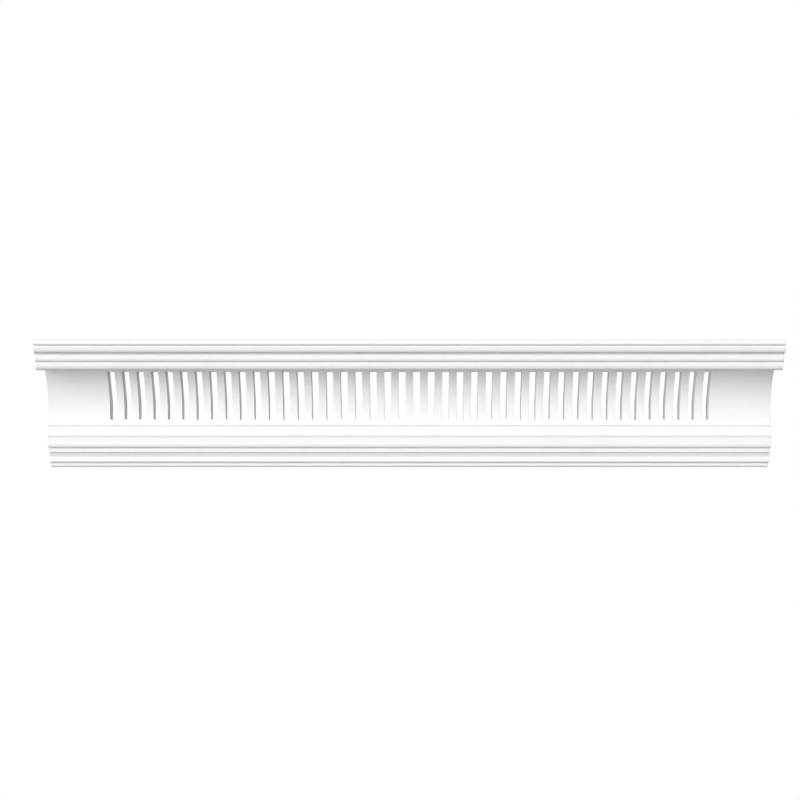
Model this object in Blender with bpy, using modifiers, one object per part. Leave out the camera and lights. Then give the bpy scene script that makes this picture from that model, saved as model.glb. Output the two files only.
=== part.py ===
"""Ornamental cornice: one straight length of crown moulding with a row of vent slots in its cove.

Frame: X runs along the length, the show face looks along -Y, Z is up. The back that beds on the wall is
the plane Y = 0, and the origin is at the centre of that bedding face. All sizes are in metres.

The section is a stack of members. Most lead out by a soffit, turn up by a round, which is a quarter of an
oval, and end in an upright flat. A change of one size carries every member above it along.
"""

import math

import bmesh
import bpy
from mathutils import Matrix, Vector

# Length of the moulding
LENGTH = 1.000

# Foot member, the lowest
FOOT_SOFFIT = 0.0067
FOOT_ROUND_DEPTH = 0.0046
FOOT_ROUND_HEIGHT = 0.0036
FOOT_FLAT = 0.0022

# Lower member
LOWER_SOFFIT = 0.0040
LOWER_ROUND_DEPTH = 0.0050
LOWER_ROUND_HEIGHT = 0.0038
LOWER_FLAT = 0.0049

# Bed member, carried on a splay and a small cavetto
BED_SPLAY_DEPTH = 0.0034
BED_SPLAY_HEIGHT = 0.0044
BED_CAVETTO_DEPTH = 0.0024
BED_CAVETTO_HEIGHT = 0.0011
BED_ROUND_DEPTH = 0.0030
BED_ROUND_HEIGHT = 0.0024
BED_FLAT = 0.0043

# Broad belt, drawn in by an ogee to the neck under the cove
BELT_SOFFIT = 0.0058
BELT_ROUND_DEPTH = 0.0055
BELT_ROUND_HEIGHT = 0.0058
BELT_FLAT = 0.0064
OGEE_SETBACK = 0.0059
OGEE_RISE = 0.0081
NECK_FLAT = 0.0091
NECK_ROUND_DEPTH = 0.0035
NECK_ROUND_HEIGHT = 0.0019
NECK_LEDGE = 0.0025

# Great cove, a single arc that starts upright and leans out as it rises, under a deep soffit that falls a
# little towards the lip
COVE_RISE = 0.0766
COVE_RUN = 0.0409
SOFFIT_DEPTH = 0.0718
SOFFIT_FALL = 0.0025

# Lip member, at the edge of the soffit
LIP_ROUND_DEPTH = 0.0080
LIP_ROUND_HEIGHT = 0.0103
LIP_FLAT = 0.0003

# Middle member
MIDDLE_SOFFIT = 0.0009
MIDDLE_ROUND_DEPTH = 0.0058
MIDDLE_ROUND_HEIGHT = 0.0068
MIDDLE_FLAT = 0.0007

# Upper member, carried on a deep cavetto, and the quirk that parts it from the top fillet
UPPER_CAVETTO_DEPTH = 0.0063
UPPER_CAVETTO_HEIGHT = 0.0046
UPPER_ROUND_DEPTH = 0.0063
UPPER_ROUND_HEIGHT = 0.0095
QUIRK_DEPTH = 0.0035
QUIRK_HEIGHT = 0.0007

# Top fillet, under the ceiling
TOP_SOFFIT = 0.0025
TOP_ROUND_DEPTH = 0.0015
TOP_ROUND_HEIGHT = 0.0017
TOP_FLAT = 0.0057

# Back: a flat bedding face on the wall, then a bevel that leans forward to the ceiling
BEDDING_HEIGHT = 0.0900
BEVEL_ANGLE = math.radians(37.0)

# Upright vent slots through the web of the cove: the bar between two slots, the plain stretch that is
# kept at each end, and the web left below and above
SLOT_WIDTH = 0.0095
SLOT_BAR = 0.0105
PLAIN_END = 0.0850
SLOT_FOOT = 0.0082
SLOT_HEAD = 0.0026

# How far a cutter reaches past the surface that it opens
CUTTER_OVERRUN = 0.0100

# Angle that one straight facet of a rounded member spans
SMALL_FACET = math.radians(15.0)
OGEE_FACET = math.radians(17.0)
COVE_FACET = math.radians(3.5)

# An edge that turns by more than this is an arris and is shaded sharp
ARRIS_ANGLE = math.radians(30.0)

# Distance within which two points of the outline are one
WELD_DISTANCE = 0.00001

WHITE = (0.88, 0.88, 0.88, 1.0)
WHITE_ROUGHNESS = 0.6

QUARTER_TURN = math.radians(90.0)
HALF_TURN = math.radians(180.0)


class Outline:
    """Pen that draws the section, as distances forward of the wall and heights above the foot."""

    def __init__(self):
        self.depth = 0.0
        self.height = 0.0
        self.points = [(0.0, 0.0)]

    def move(self, forward, upward):
        self.depth += forward
        self.height += upward
        self.points.append((self.depth, self.height))

    def arc(self, depth, height, start, sweep, facet):
        """Part of an oval with these half sizes, from where the pen lies on it, seen from its centre."""
        centre_depth = self.depth - depth * math.cos(start)
        centre_height = self.height - height * math.sin(start)
        steps = max(2, round(abs(sweep) / facet))
        for step in range(1, steps + 1):
            angle = start + sweep * step / steps
            self.depth = centre_depth + depth * math.cos(angle)
            self.height = centre_height + height * math.sin(angle)
            self.points.append((self.depth, self.height))

    def ovolo(self, depth, height):
        """Rounded underside: leaves level, outwards, and ends upright."""
        self.arc(depth, height, -QUARTER_TURN, QUARTER_TURN, SMALL_FACET)

    def member(self, soffit, round_depth, round_height, flat):
        """Level soffit outwards, rounded underside, then upright flat."""
        self.move(soffit, 0.0)
        self.ovolo(round_depth, round_height)
        self.move(0.0, flat)

    def cavetto(self, depth, height):
        """Hollow quarter: leaves upright and ends level, outwards."""
        self.arc(depth, height, HALF_TURN, -QUARTER_TURN, SMALL_FACET)

    def shoulder(self, depth, height):
        """Rounded top: leaves upright and ends level, inwards."""
        self.arc(depth, height, 0.0, QUARTER_TURN, SMALL_FACET)

    def ogee_inwards(self, setback, rise):
        """Two equal arcs, round below and hollow above, that draw an upright face in."""
        sweep = 2.0 * math.atan2(setback, rise)
        radius = (setback ** 2 + rise ** 2) / (4.0 * setback)
        self.arc(radius, radius, 0.0, sweep, OGEE_FACET)
        self.arc(radius, radius, HALF_TURN + sweep, -sweep, OGEE_FACET)

    def cove(self, run, rise):
        """Hollow arc that leaves upright and leans out by run over rise."""
        sweep = 2.0 * math.atan2(run, rise)
        radius = (run ** 2 + rise ** 2) / (2.0 * run)
        self.arc(radius, radius, HALF_TURN, -sweep, COVE_FACET)


def draw_section():
    """Walk up the show face from the foot, back along the ceiling and down the bevel."""
    pen = Outline()
    pen.member(FOOT_SOFFIT, FOOT_ROUND_DEPTH, FOOT_ROUND_HEIGHT, FOOT_FLAT)
    pen.member(LOWER_SOFFIT, LOWER_ROUND_DEPTH, LOWER_ROUND_HEIGHT, LOWER_FLAT)
    pen.move(BED_SPLAY_DEPTH, BED_SPLAY_HEIGHT)
    pen.cavetto(BED_CAVETTO_DEPTH, BED_CAVETTO_HEIGHT)
    pen.ovolo(BED_ROUND_DEPTH, BED_ROUND_HEIGHT)
    pen.move(0.0, BED_FLAT)

    pen.member(BELT_SOFFIT, BELT_ROUND_DEPTH, BELT_ROUND_HEIGHT, BELT_FLAT)
    pen.ogee_inwards(OGEE_SETBACK, OGEE_RISE)
    pen.move(0.0, NECK_FLAT)
    pen.shoulder(NECK_ROUND_DEPTH, NECK_ROUND_HEIGHT)
    pen.move(-NECK_LEDGE, 0.0)

    cove_foot = pen.height
    pen.cove(COVE_RUN, COVE_RISE)
    cove_front = pen.depth

    pen.move(SOFFIT_DEPTH, -SOFFIT_FALL)
    pen.ovolo(LIP_ROUND_DEPTH, LIP_ROUND_HEIGHT)
    pen.move(0.0, LIP_FLAT)
    pen.member(MIDDLE_SOFFIT, MIDDLE_ROUND_DEPTH, MIDDLE_ROUND_HEIGHT, MIDDLE_FLAT)
    pen.cavetto(UPPER_CAVETTO_DEPTH, UPPER_CAVETTO_HEIGHT)
    pen.ovolo(UPPER_ROUND_DEPTH, UPPER_ROUND_HEIGHT)
    pen.move(-QUIRK_DEPTH, 0.0)
    pen.move(0.0, QUIRK_HEIGHT)
    pen.member(QUIRK_DEPTH + TOP_SOFFIT, TOP_ROUND_DEPTH, TOP_ROUND_HEIGHT, TOP_FLAT)

    bevel_rise = pen.height - BEDDING_HEIGHT
    pen.points.append((bevel_rise * math.tan(BEVEL_ANGLE), pen.height))
    pen.points.append((0.0, BEDDING_HEIGHT))
    return pen.points, cove_foot, cove_front


def make_collection(name):
    collection = bpy.data.collections.new(name)
    bpy.context.scene.collection.children.link(collection)
    return collection


def make_white_paint():
    material = bpy.data.materials.new("white_paint")
    material.use_nodes = True
    shader = material.node_tree.nodes["Principled BSDF"]
    shader.inputs["Base Color"].default_value = WHITE
    shader.inputs["Roughness"].default_value = WHITE_ROUGHNESS
    shader.inputs["Metallic"].default_value = 0.0
    return material


def extrude_section(points, collection):
    """Run the section along X as a flat curve with thickness, then make it one closed mesh."""
    curve = bpy.data.curves.new("section", "CURVE")
    curve.dimensions = "2D"
    curve.fill_mode = "BOTH"
    curve.extrude = LENGTH / 2.0
    spline = curve.splines.new("POLY")
    spline.points.add(len(points) - 1)
    for point, (depth, height) in zip(spline.points, points):
        point.co = (-depth, height - BEDDING_HEIGHT / 2.0, 0.0, 1.0)
    spline.use_cyclic_u = True

    # The curve's own X, Y and Z become the world's Y, Z and X
    section = bpy.data.objects.new("section", curve)
    section.matrix_world = Matrix(((0, 0, 1, 0), (1, 0, 0, 0), (0, 1, 0, 0), (0, 0, 0, 1)))
    collection.objects.link(section)
    bpy.context.view_layer.update()

    depsgraph = bpy.context.evaluated_depsgraph_get()
    mesh = bpy.data.meshes.new_from_object(section.evaluated_get(depsgraph))
    mesh.name = "cornice"
    welded = bmesh.new()
    welded.from_mesh(mesh)
    bmesh.ops.remove_doubles(welded, verts=welded.verts, dist=WELD_DISTANCE)
    bmesh.ops.recalc_face_normals(welded, faces=welded.faces)
    welded.to_mesh(mesh)
    welded.free()
    mesh.shade_smooth()
    mesh.set_sharp_from_angle(angle=ARRIS_ANGLE)

    moulding = bpy.data.objects.new("cornice", mesh)
    moulding.matrix_world = section.matrix_world.copy()
    collection.objects.link(moulding)
    bpy.data.objects.remove(section)
    bpy.data.curves.remove(curve)
    return moulding


def make_slot_cutter(cove_foot, cove_front, collection):
    """One box a slot wide, repeated along X, as many as fit between the plain ends."""
    pitch = SLOT_WIDTH + SLOT_BAR
    slotted_length = LENGTH - 2.0 * PLAIN_END
    count = 1 + int((slotted_length - SLOT_WIDTH) / pitch)
    low = cove_foot + SLOT_FOOT - BEDDING_HEIGHT / 2.0
    high = cove_foot + COVE_RISE - SLOT_HEAD - BEDDING_HEIGHT / 2.0
    front = -cove_front - CUTTER_OVERRUN
    rear = CUTTER_OVERRUN

    box = bmesh.new()
    bmesh.ops.create_cube(box, size=1.0)
    bmesh.ops.scale(box, vec=Vector((SLOT_WIDTH, rear - front, high - low)), verts=box.verts)
    mesh = bpy.data.meshes.new("slot_cutter")
    box.to_mesh(mesh)
    box.free()

    cutter = bpy.data.objects.new("slot_cutter", mesh)
    cutter.location = (-(count - 1) * pitch / 2.0, (front + rear) / 2.0, (low + high) / 2.0)
    cutter.hide_render = True
    cutter.display_type = "WIRE"
    collection.objects.link(cutter)

    row = cutter.modifiers.new("row_of_slots", "ARRAY")
    row.fit_type = "FIXED_COUNT"
    row.count = count
    row.use_relative_offset = False
    row.use_constant_offset = True
    row.constant_offset_displace = (pitch, 0.0, 0.0)
    row.use_merge_vertices = False
    return cutter


def cut_slots(moulding, cutter):
    vents = moulding.modifiers.new("vent_slots", "BOOLEAN")
    vents.operation = "DIFFERENCE"
    vents.solver = "EXACT"
    vents.object = cutter


def main():
    for item in list(bpy.data.objects):
        bpy.data.objects.remove(item, do_unlink=True)

    parts = make_collection("ornamental_cornice")
    cutters = make_collection("cutters")

    points, cove_foot, cove_front = draw_section()
    moulding = extrude_section(points, parts)
    moulding.data.materials.append(make_white_paint())
    cut_slots(moulding, make_slot_cutter(cove_foot, cove_front, cutters))


main()
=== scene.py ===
import math

import bpy
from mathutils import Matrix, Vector


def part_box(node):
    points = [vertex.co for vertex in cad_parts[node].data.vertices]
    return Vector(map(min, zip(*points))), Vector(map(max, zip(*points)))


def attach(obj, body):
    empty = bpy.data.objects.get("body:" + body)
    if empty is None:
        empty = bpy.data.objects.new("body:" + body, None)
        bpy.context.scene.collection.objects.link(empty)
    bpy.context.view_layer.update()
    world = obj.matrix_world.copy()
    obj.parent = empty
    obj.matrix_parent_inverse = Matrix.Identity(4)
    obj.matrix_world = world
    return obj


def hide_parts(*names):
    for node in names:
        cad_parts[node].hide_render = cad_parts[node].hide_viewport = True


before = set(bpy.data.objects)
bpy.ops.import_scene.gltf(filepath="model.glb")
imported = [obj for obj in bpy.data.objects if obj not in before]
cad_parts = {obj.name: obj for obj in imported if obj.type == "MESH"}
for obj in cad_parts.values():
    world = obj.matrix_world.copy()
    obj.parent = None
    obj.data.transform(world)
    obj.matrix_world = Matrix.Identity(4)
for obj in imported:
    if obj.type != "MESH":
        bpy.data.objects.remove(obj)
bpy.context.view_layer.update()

# Camera
# The photograph looks straight at the show face from in front, a little above the foot of the cove, with
# a long lens. The point that the camera faces lies a little to the right of and below the picture's centre.
LENS = 107.0
SENSOR = 36.0
CAMERA_DISTANCE = 3.3274
CAMERA_HEIGHT = 0.0136
PICTURE_SIZE = 800.0
VIEW_POINT_PIXEL = (409.4, 425.0)

camera_data = bpy.data.cameras.new("camera")
camera_data.lens = LENS
camera_data.sensor_width = SENSOR
camera_data.shift_x = (PICTURE_SIZE / 2.0 - VIEW_POINT_PIXEL[0]) / PICTURE_SIZE
camera_data.shift_y = (VIEW_POINT_PIXEL[1] - PICTURE_SIZE / 2.0) / PICTURE_SIZE
camera = bpy.data.objects.new("camera", camera_data)
camera.location = (0.0, -CAMERA_DISTANCE, CAMERA_HEIGHT)
camera.rotation_euler = (math.radians(90.0), 0.0, 0.0)
bpy.context.scene.collection.objects.link(camera)
bpy.context.scene.camera = camera


# Moulding
# One straight length of rigid foam under white paint, moulded in one with its members, deep soffit and
# cove. The vent slots are milled through the cove and the ends are sawn square. It is glued by its flat
# back to the wall and by its flat top to the ceiling.
cad_corner_low, cad_corner_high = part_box("cornice")
LENGTH = cad_corner_high[0] - cad_corner_low[0]
WALL = cad_corner_high[1]
FOOT_HEIGHT = cad_corner_low[2]

# The paint rounds the arrises and fills the bottom of the creases, over this distance to either side. A
# turn of the outline that is gentler than SHARP_TURN belongs to a rounded member and is left as it is.
ARRIS_REACH = 0.0008
CREASE_REACH = 0.0003
SHARP_TURN = math.radians(25.0)
SOFTENING_STEPS = 4

# Angle that one facet of a rounded member and of the cove spans
ROUND_FACET = math.radians(9.0)
COVE_FACET = math.radians(1.5)
QUARTER_TURN = math.radians(90.0)
HALF_TURN = math.radians(180.0)
WELD_DISTANCE = 1e-6


class SectionPen:
    """Draws the section as distances forward of the wall and heights above the foot."""

    def __init__(self):
        self.depth = 0.0
        self.height = 0.0
        self.points = [(0.0, 0.0)]

    def move(self, forward, upward):
        self.depth += forward
        self.height += upward
        self.points.append((self.depth, self.height))

    def arc(self, depth, height, start, sweep, facet=ROUND_FACET):
        """Part of an oval with these half sizes, from where the pen lies on it."""
        centre_depth = self.depth - depth * math.cos(start)
        centre_height = self.height - height * math.sin(start)
        steps = max(3, round(abs(sweep) / facet))
        for step in range(1, steps + 1):
            angle = start + sweep * step / steps
            self.depth = centre_depth + depth * math.cos(angle)
            self.height = centre_height + height * math.sin(angle)
            self.points.append((self.depth, self.height))

    def member(self, soffit, rounding, flat):
        """Level soffit outwards, rounded underside, then upright flat."""
        self.move(soffit, 0.0)
        self.arc(rounding[0], rounding[1], -QUARTER_TURN, QUARTER_TURN)
        self.move(0.0, flat)

    def cavetto(self, depth, height):
        """Hollow quarter: leaves upright and ends level, outwards."""
        self.arc(depth, height, HALF_TURN, -QUARTER_TURN)

    def ogee_inwards(self, setback, rise):
        """Two equal arcs, round below and hollow above, that draw an upright face in."""
        sweep = 2.0 * math.atan2(setback, rise)
        radius = (setback ** 2 + rise ** 2) / (4.0 * setback)
        self.arc(radius, radius, 0.0, sweep)
        self.arc(radius, radius, HALF_TURN + sweep, -sweep)

    def cove(self, run, rise):
        """Hollow arc that leaves upright and leans out by run over rise."""
        sweep = 2.0 * math.atan2(run, rise)
        radius = (run ** 2 + rise ** 2) / (2.0 * run)
        self.arc(radius, radius, HALF_TURN, -sweep, COVE_FACET)


def draw_section():
    """Up the show face from the foot, back along the top and down the bevelled back."""
    pen = SectionPen()
    foot = dict(soffit=0.0067, rounding=(0.0046, 0.0036), flat=0.0022)
    lower = dict(soffit=0.0040, rounding=(0.0050, 0.0038), flat=0.0049)
    bed = dict(soffit=0.0, rounding=(0.0030, 0.0024), flat=0.0043)
    pen.member(**foot)
    pen.member(**lower)
    pen.move(forward=0.0034, upward=0.0044)
    pen.cavetto(depth=0.0024, height=0.0011)
    pen.member(**bed)

    belt = dict(soffit=0.0058, rounding=(0.0055, 0.0058), flat=0.0064)
    neck_flat, neck_round, neck_ledge = 0.0091, (0.0035, 0.0019), 0.0025
    pen.member(**belt)
    pen.ogee_inwards(setback=0.0059, rise=0.0081)
    pen.move(0.0, neck_flat)
    pen.arc(neck_round[0], neck_round[1], 0.0, QUARTER_TURN)
    pen.move(-neck_ledge, 0.0)

    cove_rise, soffit_fall = 0.0766, 0.0025
    cove_foot = pen.height
    pen.cove(run=0.0409, rise=cove_rise)
    cove_front = pen.depth

    lip = dict(soffit=0.0, rounding=(0.0080, 0.0103), flat=0.0003)
    middle = dict(soffit=0.0009, rounding=(0.0058, 0.0068), flat=0.0007)
    upper = dict(soffit=0.0, rounding=(0.0063, 0.0095), flat=0.0)
    pen.move(forward=0.0718, upward=-soffit_fall)
    pen.member(**lip)
    pen.member(**middle)
    pen.cavetto(depth=0.0063, height=0.0046)
    pen.member(**upper)

    quirk_depth, quirk_height = 0.0035, 0.0007
    top_soffit, top_round, top_flat = 0.0025, (0.0015, 0.0017), 0.0057
    pen.move(-quirk_depth, 0.0)
    pen.move(0.0, quirk_height)
    pen.member(quirk_depth + top_soffit, top_round, top_flat)

    bedding_height, bevel_angle = 0.0900, math.radians(37.0)
    bevel_depth = (pen.height - bedding_height) * math.tan(bevel_angle)
    pen.points.append((bevel_depth, pen.height))
    pen.points.append((0.0, bedding_height))
    return pen.points, cove_foot, cove_foot + cove_rise, cove_front


def without_doubles(points):
    kept = []
    for point in points:
        if not kept or math.dist(point, kept[-1]) > WELD_DISTANCE:
            kept.append(point)
    return kept


def point_along(points, corner, distance, direction):
    """The place on the closed outline that lies a distance from a corner, and the points passed by."""
    here = points[corner]
    index = corner
    passed = []
    while True:
        index = (index + direction) % len(points)
        ahead = points[index]
        step = math.dist(here, ahead)
        if step >= distance:
            share = distance / step
            place = tuple(a + (b - a) * share for a, b in zip(here, ahead))
            return place, passed
        distance -= step
        passed.append(index)
        here = ahead


def soften(points, arris_reach, crease_reach):
    """Replaces each sharp turn of an anticlockwise outline by a small curve, as a coat of paint does."""
    points = without_doubles(points)
    swallowed = set()
    curves = {}
    for index, point in enumerate(points):
        before = Vector(point) - Vector(points[index - 1])
        after = Vector(points[(index + 1) % len(points)]) - Vector(point)
        if before.angle(after) < SHARP_TURN:
            continue
        turns_outwards = before.x * after.y - before.y * after.x > 0.0
        reach = arris_reach if turns_outwards else crease_reach
        start, passed_before = point_along(points, index, reach, -1)
        end, passed_after = point_along(points, index, reach, 1)
        swallowed.update(passed_before + passed_after)
        curve = []
        for step in range(SOFTENING_STEPS + 1):
            t = step / SOFTENING_STEPS
            curve.append(tuple((1 - t) ** 2 * a + 2 * (1 - t) * t * b + t ** 2 * c
                               for a, b, c in zip(start, point, end)))
        curves[index] = curve
    softened = []
    for index, point in enumerate(points):
        if index in curves:
            softened.extend(curves[index])
        elif index not in swallowed:
            softened.append(point)
    return without_doubles(softened)


section_points, cove_bottom, cove_top, cove_front = draw_section()
section_points = soften(section_points, ARRIS_REACH, CREASE_REACH)
section_mesh = bpy.data.meshes.new("section")
corners = [(0.0, WALL - depth, FOOT_HEIGHT + height) for depth, height in section_points]
section_mesh.from_pydata(corners, [], [list(range(len(corners)))])


# A face whose normal points along the length by more than this is a sawn end
SAWN_FACE_NORMAL = 0.9
SLOT_CORNER_FACETS = 4


def make_pierced_moulding_tree():
    """Runs a section along X, cuts a row of slots through its web, and marks what a blade has cut."""
    tree = bpy.data.node_groups.new("pierced_moulding", "GeometryNodeTree")
    socket = tree.interface.new_socket
    socket("Section", in_out="INPUT", socket_type="NodeSocketGeometry")
    for name in ("Length", "Slot Width", "Slot Height", "Slot Corner", "Slot Centre Height", "Pitch",
                 "Web Rear", "Web Front", "Overrun", "Sharp Angle"):
        socket(name, in_out="INPUT", socket_type="NodeSocketFloat")
    socket("Slot Count", in_out="INPUT", socket_type="NodeSocketInt")
    socket("Paint", in_out="INPUT", socket_type="NodeSocketMaterial")
    socket("Moulding", in_out="OUTPUT", socket_type="NodeSocketGeometry")

    nodes, links = tree.nodes, tree.links
    sizes = nodes.new("NodeGroupInput").outputs
    result = nodes.new("NodeGroupOutput")

    def put(value, target):
        if isinstance(value, (int, float)):
            target.default_value = value
        else:
            links.new(value, target)

    def arithmetic(operation, first, second=0.0):
        node = nodes.new("ShaderNodeMath")
        node.operation = operation
        put(first, node.inputs[0])
        put(second, node.inputs[1])
        return node.outputs[0]

    def vector(x=0.0, y=0.0, z=0.0):
        node = nodes.new("ShaderNodeCombineXYZ")
        for target, value in zip(node.inputs, (x, y, z)):
            put(value, target)
        return node.outputs[0]

    def parts_of(vector_output):
        node = nodes.new("ShaderNodeSeparateXYZ")
        links.new(vector_output, node.inputs[0])
        return node.outputs

    def mark(geometry, name, domain, value):
        node = nodes.new("GeometryNodeStoreNamedAttribute")
        node.data_type = "FLOAT"
        node.domain = domain
        node.inputs["Name"].default_value = name
        links.new(geometry, node.inputs["Geometry"])
        put(value, node.inputs["Value"])
        return node.outputs["Geometry"]

    def solid_from_face(face, offset, distance):
        """Extrudes a face and closes it behind with the same face turned round."""
        extrude = nodes.new("GeometryNodeExtrudeMesh")
        extrude.mode = "FACES"
        extrude.inputs["Individual"].default_value = False
        links.new(face, extrude.inputs["Mesh"])
        links.new(offset, extrude.inputs["Offset"])
        links.new(distance, extrude.inputs["Offset Scale"])
        turned = nodes.new("GeometryNodeFlipFaces")
        links.new(face, turned.inputs["Mesh"])
        both = nodes.new("GeometryNodeJoinGeometry")
        links.new(extrude.outputs["Mesh"], both.inputs[0])
        links.new(turned.outputs[0], both.inputs[0])
        weld = nodes.new("GeometryNodeMergeByDistance")
        weld.inputs["Distance"].default_value = WELD_DISTANCE
        links.new(both.outputs[0], weld.inputs["Geometry"])
        return weld.outputs[0]

    # The section is moved to the left end and run the whole length, and its two ends are sawn
    to_left_end = nodes.new("GeometryNodeTransform")
    links.new(sizes["Section"], to_left_end.inputs["Geometry"])
    links.new(vector(x=arithmetic("MULTIPLY", sizes["Length"], -0.5)), to_left_end.inputs["Translation"])
    moulding = solid_from_face(to_left_end.outputs[0], vector(x=1.0), sizes["Length"])
    lengthwise = parts_of(nodes.new("GeometryNodeInputNormal").outputs["Normal"])["X"]
    is_end = arithmetic("GREATER_THAN", arithmetic("ABSOLUTE", lengthwise), SAWN_FACE_NORMAL)
    moulding = mark(moulding, "cut_by_blade", "FACE", is_end)

    # One slot cutter, with softly rounded corners, as deep as the web
    outline = nodes.new("GeometryNodeCurvePrimitiveQuadrilateral")
    links.new(sizes["Slot Width"], outline.inputs["Width"])
    links.new(sizes["Slot Height"], outline.inputs["Height"])
    corner = nodes.new("GeometryNodeFilletCurve")
    corner.mode = "POLY"
    corner.inputs["Count"].default_value = SLOT_CORNER_FACETS
    links.new(outline.outputs[0], corner.inputs["Curve"])
    links.new(sizes["Slot Corner"], corner.inputs["Radius"])
    filled = nodes.new("GeometryNodeFillCurve")
    filled.mode = "NGONS"
    links.new(corner.outputs[0], filled.inputs["Curve"])
    cutter_rear = arithmetic("ADD", sizes["Web Rear"], sizes["Overrun"])
    cutter_front = arithmetic("SUBTRACT", sizes["Web Front"], sizes["Overrun"])
    cutter = solid_from_face(filled.outputs[0], vector(z=1.0),
                             arithmetic("SUBTRACT", cutter_rear, cutter_front))
    upright = nodes.new("GeometryNodeTransform")
    upright.inputs["Rotation"].default_value = (QUARTER_TURN, 0.0, 0.0)
    links.new(mark(cutter, "cut_by_blade", "FACE", 1.0), upright.inputs["Geometry"])
    links.new(vector(y=cutter_rear, z=sizes["Slot Centre Height"]), upright.inputs["Translation"])

    # The row of cutters, evenly about the middle
    last_index = arithmetic("SUBTRACT", sizes["Slot Count"], 1.0)
    half_row = arithmetic("MULTIPLY", arithmetic("MULTIPLY", last_index, sizes["Pitch"]), -0.5)
    row = nodes.new("GeometryNodeMeshLine")
    links.new(sizes["Slot Count"], row.inputs["Count"])
    links.new(vector(x=half_row), row.inputs["Start Location"])
    links.new(vector(x=sizes["Pitch"]), row.inputs["Offset"])
    placed = nodes.new("GeometryNodeInstanceOnPoints")
    links.new(row.outputs[0], placed.inputs["Points"])
    links.new(upright.outputs[0], placed.inputs["Instance"])
    cutters = nodes.new("GeometryNodeRealizeInstances")
    links.new(placed.outputs[0], cutters.inputs[0])

    cut = nodes.new("GeometryNodeMeshBoolean")
    cut.operation = "DIFFERENCE"
    cut.solver = "EXACT"
    links.new(moulding, cut.inputs["Mesh 1"])
    links.new(cutters.outputs[0], cut.inputs["Mesh 2"])

    # Sharp edges are marked for softening
    turn = nodes.new("GeometryNodeInputMeshEdgeAngle").outputs["Unsigned Angle"]
    is_sharp = arithmetic("GREATER_THAN", turn, sizes["Sharp Angle"])
    softened = mark(cut.outputs["Mesh"], "bevel_weight_edge", "EDGE", is_sharp)

    smooth = nodes.new("GeometryNodeSetShadeSmooth")
    links.new(softened, smooth.inputs["Geometry"])
    real = nodes.new("GeometryNodeRealizeInstances")
    links.new(smooth.outputs[0], real.inputs[0])
    painted = nodes.new("GeometryNodeSetMaterial")
    links.new(real.outputs[0], painted.inputs["Geometry"])
    links.new(sizes["Paint"], painted.inputs["Material"])
    links.new(painted.outputs[0], result.inputs["Moulding"])
    return tree


def set_inputs(modifier, values):
    """Sets a geometry nodes modifier's inputs by the names that its tree gives them."""
    for item in modifier.node_group.interface.items_tree:
        if item.name in values:
            modifier[item.identifier] = values[item.name]


# The paint's two whites, how often its textures repeat, and how deep its relief is. The foam's grain is all
# but hidden where the paint was sprayed on the moulded skin, and shows where a blade cut.
DULLER_WHITE = (0.872, 0.872, 0.870, 1.0)
CLEANER_WHITE = (0.886, 0.886, 0.886, 1.0)
CLOUDS_PER_METRE = 9.0
SHEEN_PATCHES_PER_METRE = 60.0
SPRAY_PEEL_PER_METRE = 650.0
FOAM_GRAIN_PER_METRE = 2200.0
GRAIN_UNDER_SPRAY = 0.15
GRAIN_ON_CUT = 1.0
RELIEF_DEPTH = 0.00002


def make_white_paint():
    """Matt white with a faint cloud of tone, a spray coat's fine peel, and foam grain where a blade cut."""
    paint = bpy.data.materials.new("white_paint")
    paint.use_nodes = True
    nodes, links = paint.node_tree.nodes, paint.node_tree.links
    shader = nodes["Principled BSDF"]
    shader.inputs["Specular IOR Level"].default_value = 0.35
    place = nodes.new("ShaderNodeTexCoord").outputs["Object"]

    def noise(per_metre, detail):
        node = nodes.new("ShaderNodeTexNoise")
        node.inputs["Scale"].default_value = per_metre
        node.inputs["Detail"].default_value = detail
        links.new(place, node.inputs["Vector"])
        return node.outputs["Fac"]

    def spread(value, low, high):
        """Spreads the middle of a noise over a range."""
        node = nodes.new("ShaderNodeMapRange")
        node.inputs["From Min"].default_value = 0.3
        node.inputs["From Max"].default_value = 0.7
        node.inputs["To Min"].default_value = low
        node.inputs["To Max"].default_value = high
        links.new(value, node.inputs["Value"])
        return node.outputs["Result"]

    tone = nodes.new("ShaderNodeMix")
    tone.data_type = "RGBA"
    tone.inputs["A"].default_value = DULLER_WHITE
    tone.inputs["B"].default_value = CLEANER_WHITE
    links.new(spread(noise(CLOUDS_PER_METRE, detail=3.0), 0.0, 1.0), tone.inputs["Factor"])
    links.new(tone.outputs["Result"], shader.inputs["Base Color"])
    links.new(spread(noise(SHEEN_PATCHES_PER_METRE, detail=4.0), 0.50, 0.60), shader.inputs["Roughness"])

    cut_by_blade = nodes.new("ShaderNodeAttribute")
    cut_by_blade.attribute_name = "cut_by_blade"
    grain_depth = nodes.new("ShaderNodeMapRange")
    grain_depth.inputs["To Min"].default_value = GRAIN_UNDER_SPRAY
    grain_depth.inputs["To Max"].default_value = GRAIN_ON_CUT
    links.new(cut_by_blade.outputs["Fac"], grain_depth.inputs["Value"])
    grain = nodes.new("ShaderNodeMath")
    grain.operation = "MULTIPLY"
    links.new(noise(FOAM_GRAIN_PER_METRE, detail=2.0), grain.inputs[0])
    links.new(grain_depth.outputs["Result"], grain.inputs[1])
    relief = nodes.new("ShaderNodeMath")
    relief.operation = "ADD"
    links.new(noise(SPRAY_PEEL_PER_METRE, detail=1.0), relief.inputs[0])
    links.new(grain.outputs[0], relief.inputs[1])
    bump = nodes.new("ShaderNodeBump")
    bump.inputs["Strength"].default_value = 0.6
    bump.inputs["Distance"].default_value = RELIEF_DEPTH
    links.new(relief.outputs[0], bump.inputs["Height"])
    links.new(bump.outputs["Normal"], shader.inputs["Normal"])
    return paint


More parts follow.
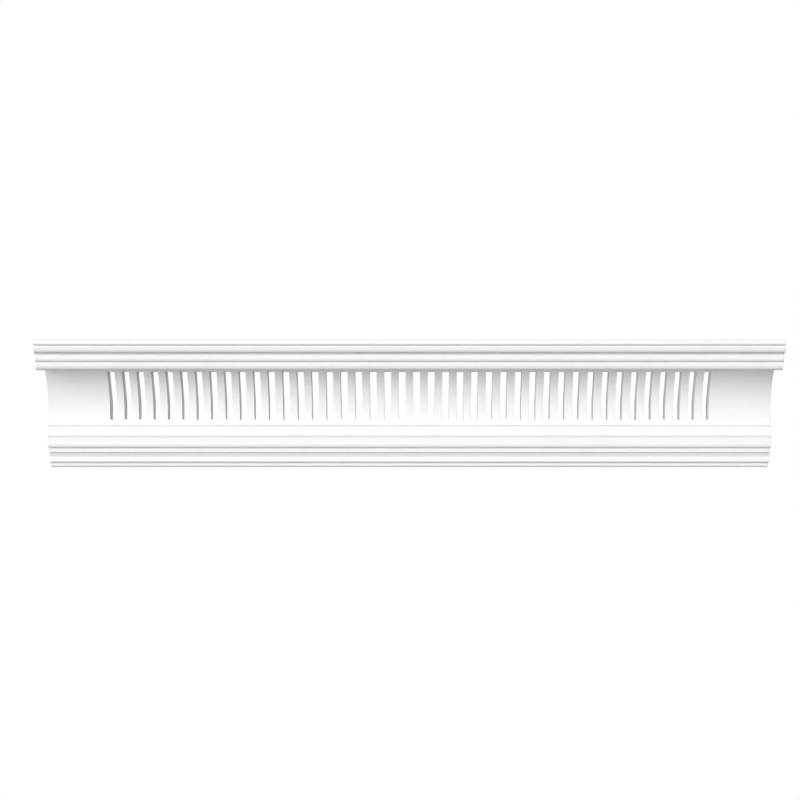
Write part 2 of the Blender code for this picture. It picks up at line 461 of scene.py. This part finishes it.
# The slots, the bar between two of them, and the web that is left below and above
SLOT_WIDTH = 0.0095
SLOT_BAR = 0.0105
SLOT_COUNT = 42
SLOT_FOOT = 0.0082
SLOT_HEAD = 0.0026
SLOT_CORNER = 0.0006
CUTTER_OVERRUN = 0.010
slot_low = FOOT_HEIGHT + cove_bottom + SLOT_FOOT
slot_high = FOOT_HEIGHT + cove_top - SLOT_HEAD

# Edges that turn by more than this are softened
SOFT_EDGE_ANGLE = math.radians(40.0)
SOFT_EDGE_WIDTH = 0.0005
SOFT_EDGE_FACETS = 3

moulding = bpy.data.objects.new("cornice_moulding", section_mesh)
bpy.context.scene.collection.objects.link(moulding)
pierced = moulding.modifiers.new("pierced_moulding", "NODES")
pierced.node_group = make_pierced_moulding_tree()
set_inputs(pierced, {
    "Length": LENGTH,
    "Slot Width": SLOT_WIDTH,
    "Slot Height": slot_high - slot_low,
    "Slot Corner": SLOT_CORNER,
    "Slot Centre Height": (slot_low + slot_high) / 2.0,
    "Pitch": SLOT_WIDTH + SLOT_BAR,
    "Web Rear": WALL,
    "Web Front": WALL - cove_front,
    "Overrun": CUTTER_OVERRUN,
    "Sharp Angle": SOFT_EDGE_ANGLE,
    "Slot Count": SLOT_COUNT,
    "Paint": make_white_paint(),
})
soft_edge = moulding.modifiers.new("soft_edge", "BEVEL")
soft_edge.limit_method = "WEIGHT"
soft_edge.width = SOFT_EDGE_WIDTH
soft_edge.segments = SOFT_EDGE_FACETS
soft_edge.use_clamp_overlap = False
level_faces = moulding.modifiers.new("level_faces", "WEIGHTED_NORMAL")

depsgraph = bpy.context.evaluated_depsgraph_get()
finished = bpy.data.meshes.new_from_object(moulding.evaluated_get(depsgraph))
finished.name = "cornice_moulding"
moulding.modifiers.clear()
moulding.data = finished

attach(moulding, "root")
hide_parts("cornice")


# Floor
# A plain pale studio floor of matt white card, a metre and more below the moulding, which fades into the
# white surroundings. It glows a little so that it stays pale, doesn't light the moulding, and is clear from
# beneath.
FLOOR_HEIGHT = -1.2
FLOOR_HALF_WIDTH = 3.0
FLOOR_FADE_START = 1.4

FLOOR_CORNERS = ((-1, -1), (1, -1), (1, 1), (-1, 1))
FLOOR_GLOW = 0.40

scene = bpy.context.scene
floor_mesh = bpy.data.meshes.new("floor")
floor_mesh.from_pydata([(x * FLOOR_HALF_WIDTH, y * FLOOR_HALF_WIDTH, FLOOR_HEIGHT) for x, y in FLOOR_CORNERS],
                       [], [(0, 1, 2, 3)])
floor = bpy.data.objects.new("floor", floor_mesh)
scene.collection.objects.link(floor)
floor.visible_diffuse = False
floor.visible_glossy = False
floor.visible_shadow = False

card = bpy.data.materials.new("white_card")
card.use_nodes = True
nodes, links = card.node_tree.nodes, card.node_tree.links
card_shader = nodes["Principled BSDF"]
card_shader.inputs["Base Color"].default_value = (0.9, 0.9, 0.9, 1.0)
card_shader.inputs["Roughness"].default_value = 0.9
card_shader.inputs["Emission Color"].default_value = (1.0, 1.0, 1.0, 1.0)
card_shader.inputs["Emission Strength"].default_value = FLOOR_GLOW
across = nodes.new("ShaderNodeVectorMath")
across.operation = "MULTIPLY"
across.inputs[1].default_value = (1.0, 1.0, 0.0)
links.new(nodes.new("ShaderNodeTexCoord").outputs["Object"], across.inputs[0])
from_middle = nodes.new("ShaderNodeVectorMath")
from_middle.operation = "LENGTH"
links.new(across.outputs["Vector"], from_middle.inputs[0])
fade = nodes.new("ShaderNodeMapRange")
fade.interpolation_type = "SMOOTHSTEP"
fade.inputs["From Min"].default_value = FLOOR_FADE_START
fade.inputs["From Max"].default_value = FLOOR_HALF_WIDTH
links.new(from_middle.outputs["Value"], fade.inputs["Value"])
unseen = nodes.new("ShaderNodeMath")
unseen.operation = "MAXIMUM"
links.new(fade.outputs["Result"], unseen.inputs[0])
links.new(nodes.new("ShaderNodeNewGeometry").outputs["Backfacing"], unseen.inputs[1])
clear = nodes.new("ShaderNodeBsdfTransparent")
seen_or_not = nodes.new("ShaderNodeMixShader")
links.new(unseen.outputs[0], seen_or_not.inputs[0])
links.new(card_shader.outputs[0], seen_or_not.inputs[1])
links.new(clear.outputs[0], seen_or_not.inputs[2])
links.new(seen_or_not.outputs[0], nodes["Material Output"].inputs["Surface"])
floor_mesh.materials.append(card)


# Studio light
# White surroundings, with a broad soft glow from in front and a little to the left, a smaller one just
# above it, and weaker light from behind and from above.
FRONT_AZIMUTH = math.radians(-22.0)
BROAD_HEIGHT = math.radians(-7.0)
BROAD_POWER = 15.0
BROAD_LEVEL = 6.4
SMALL_HEIGHT = math.radians(9.0)
SMALL_POWER = 40.0
SMALL_LEVEL = 6.7
BEHIND_AZIMUTH = math.radians(180.0)
BEHIND_HEIGHT = math.radians(15.0)
BEHIND_POWER = 1.5
BEHIND_LEVEL = 0.5
ABOVE_LEVEL = 0.40

scene.view_settings.view_transform = "Standard"
world = bpy.data.worlds.new("studio")
scene.world = world
world.use_nodes = True
nodes, links = world.node_tree.nodes, world.node_tree.links
direction = nodes.new("ShaderNodeTexCoord").outputs["Generated"]


def world_arithmetic(operation, *values):
    node = nodes.new("ShaderNodeMath")
    node.operation = operation
    for target, value in zip(node.inputs, values):
        if isinstance(value, (int, float)):
            target.default_value = value
        else:
            links.new(value, target)
    return node.outputs[0]


def soft_glow(azimuth, height, power, level):
    """A round glow about one direction, its azimuth counted from straight in front of the moulding."""
    toward = nodes.new("ShaderNodeVectorMath")
    toward.operation = "DOT_PRODUCT"
    toward.inputs[1].default_value = (math.sin(azimuth) * math.cos(height),
                                      -math.cos(azimuth) * math.cos(height),
                                      math.sin(height))
    links.new(direction, toward.inputs[0])
    facing = world_arithmetic("MAXIMUM", toward.outputs["Value"], 0.0)
    return world_arithmetic("MULTIPLY", world_arithmetic("POWER", facing, power), level)


level = world_arithmetic("ADD", soft_glow(FRONT_AZIMUTH, BROAD_HEIGHT, BROAD_POWER, BROAD_LEVEL),
                         soft_glow(FRONT_AZIMUTH, SMALL_HEIGHT, SMALL_POWER, SMALL_LEVEL))
level = world_arithmetic("ADD", level, soft_glow(BEHIND_AZIMUTH, BEHIND_HEIGHT, BEHIND_POWER, BEHIND_LEVEL))
parts = nodes.new("ShaderNodeSeparateXYZ")
links.new(direction, parts.inputs[0])
upward = world_arithmetic("MAXIMUM", parts.outputs["Z"], 0.0)
level = world_arithmetic("MULTIPLY_ADD", upward, ABOVE_LEVEL, level)

glow = nodes["Background"]
glow.inputs["Color"].default_value = (1.0, 1.0, 1.0, 1.0)
links.new(level, glow.inputs["Strength"])
white = nodes.new("ShaderNodeBackground")
white.inputs["Color"].default_value = (1.0, 1.0, 1.0, 1.0)
seen_by_camera = nodes.new("ShaderNodeMixShader")
links.new(nodes.new("ShaderNodeLightPath").outputs["Is Camera Ray"], seen_by_camera.inputs[0])
links.new(glow.outputs[0], seen_by_camera.inputs[1])
links.new(white.outputs[0], seen_by_camera.inputs[2])
links.new(seen_by_camera.outputs[0], nodes["World Output"].inputs["Surface"])
